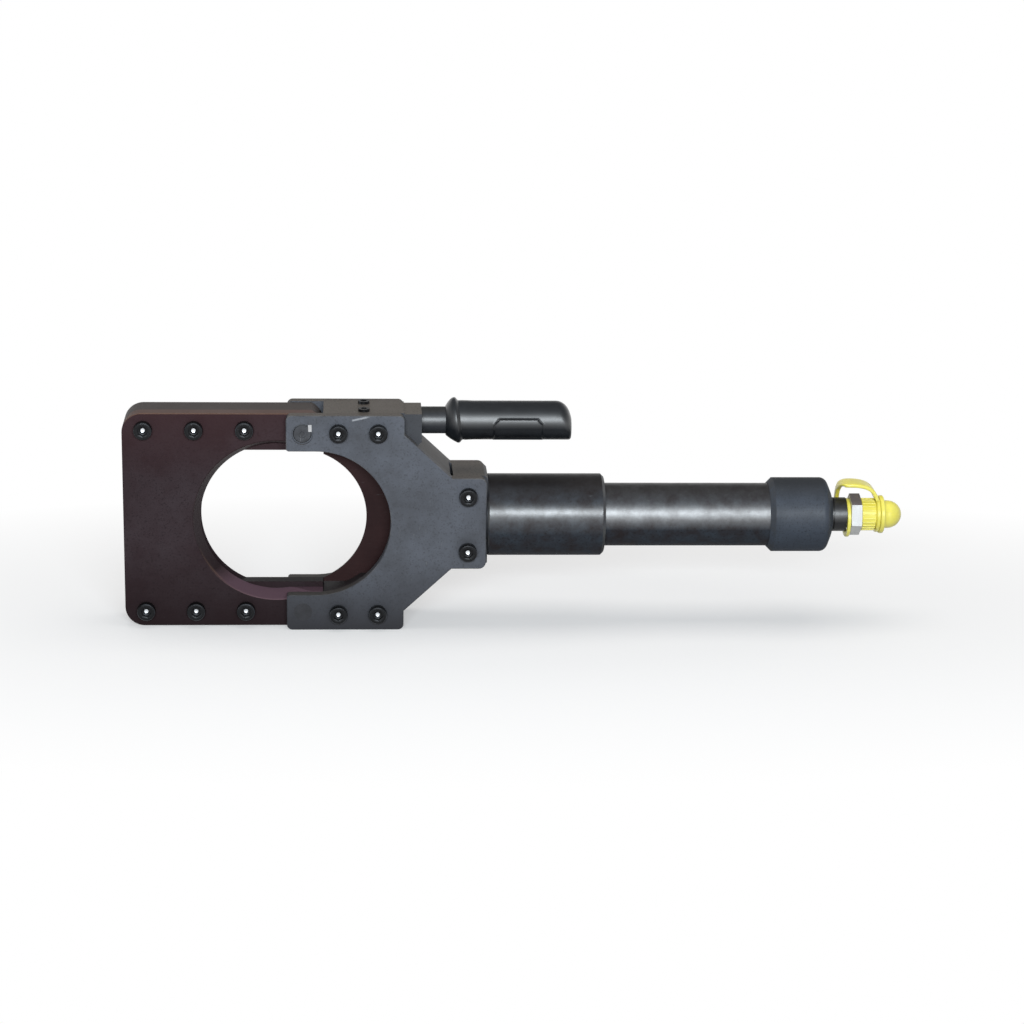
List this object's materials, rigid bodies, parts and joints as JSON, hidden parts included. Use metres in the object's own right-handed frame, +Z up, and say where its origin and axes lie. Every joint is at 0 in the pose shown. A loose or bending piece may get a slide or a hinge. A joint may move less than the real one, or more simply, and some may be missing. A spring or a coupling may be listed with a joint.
{
  "type": "hydraulic cable cutting head",
  "caption": "Guillotine cutting head for thick cable: a swinging jaw plate, a sliding blade on a spring-return hydraulic ram, a carrying handle and a capped hose coupler.",
  "frame": {"origin": "centre of the round cable hole, on the ram's axis, in the middle of the blade's thickness", "axes": "+X along the ram towards the hose coupler, +Y from front to back through the cable hole, +Z up towards the handle"},
  "size_m": [0.6844, 0.08, 0.2025],
  "materials": {
    "blued_brown": "hardened and blued brown, satin",
    "phosphate_grey": "phosphated blue-grey, satin",
    "black_steel": "blackened, satin",
    "cap_black": "blackened, matt",
    "screw_black": "black oxide, satin",
    "zinc": "zinc plated, bright",
    "bright_steel": "ground bright",
    "rubber_black": "matt moulded",
    "seal_rubber": "smooth moulded",
    "yellow_plastic": "moulded, half gloss",
    "bronze": "turned"
  },
  "bodies": {
    "frame": {"side_plate_front": "phosphate_grey", "side_plate_back": "phosphate_grey", "upper_rail_block": "phosphate_grey", "lower_rail_block": "phosphate_grey", "cylinder_head_block": "phosphate_grey", "cylinder_sleeve": "black_steel", "cylinder_barrel": "black_steel", "port_stub": "black_steel", "rear_cap": "cap_black", "frame_screws_front": "screw_black", "frame_screws_back": "screw_black", "top_set_screws": "screw_black", "latch_retainer_screw": "screw_black", "coupler_body": "zinc", "port_washer": "zinc", "hinge_pin": "bright_steel", "hinge_pin_keeper": "bright_steel", "handle_stud": "bright_steel", "return_spring": "bright_steel", "valve_spring": "bright_steel", "spring_anchor": "bright_steel", "handle_grip": "rubber_black", "rod_seal": "seal_rubber", "rod_wiper": "seal_rubber", "cap_seal": "seal_rubber", "cap_tether": "yellow_plastic", "gland": "bronze", "guide_strip_upper": "bronze", "guide_strip_lower": "bronze"},
    "jaw": {"jaw_plate_front": "blued_brown", "jaw_plate_back": "blued_brown", "jaw_upper_bar": "blued_brown", "jaw_lower_bar": "blued_brown", "jaw_screws": "screw_black"},
    "ram": {"moving_blade": "blued_brown", "ram": "bright_steel", "blade_pin": "bright_steel", "spring_pin": "bright_steel", "piston": "bright_steel", "piston_seal": "seal_rubber", "piston_guide_ring": "bronze"},
    "latch": {"latch_pin": "bright_steel", "latch_knob": "screw_black"},
    "dust_cap": {"dust_cap": "yellow_plastic"},
    "valve": {"coupler_valve": "zinc"}
  },
  "joints": [
    {"name": "ram_stroke", "type": "slide", "parent": "frame", "child": "ram", "axis": [-1, 0, 0], "range_m": [0, 0.147], "stiffness_N_per_m": 400, "springref_m": -0.05, "deforming": ["return_spring"]},
    {"name": "jaw_swing", "type": "hinge", "parent": "frame", "child": "jaw", "pos_m": [0.023, 0, 0.0805], "axis": [0, 1, 0], "range_deg": [0, 90]},
    {"name": "latch_turn", "type": "hinge", "parent": "frame", "child": "latch", "pos_m": [0.023, 0, -0.0805], "axis": [0, 1, 0], "range_deg": [0, 90]},
    {"name": "dust_cap_pull", "type": "slide", "parent": "frame", "child": "dust_cap", "axis": [1, 0, 0], "range_m": [0, 0.06], "deforming": ["cap_tether"]},
    {"name": "valve_push", "type": "slide", "parent": "frame", "child": "valve", "axis": [-1, 0, 0], "range_m": [0, 0.004], "stiffness_N_per_m": 300, "deforming": ["valve_spring"]}
  ]
}
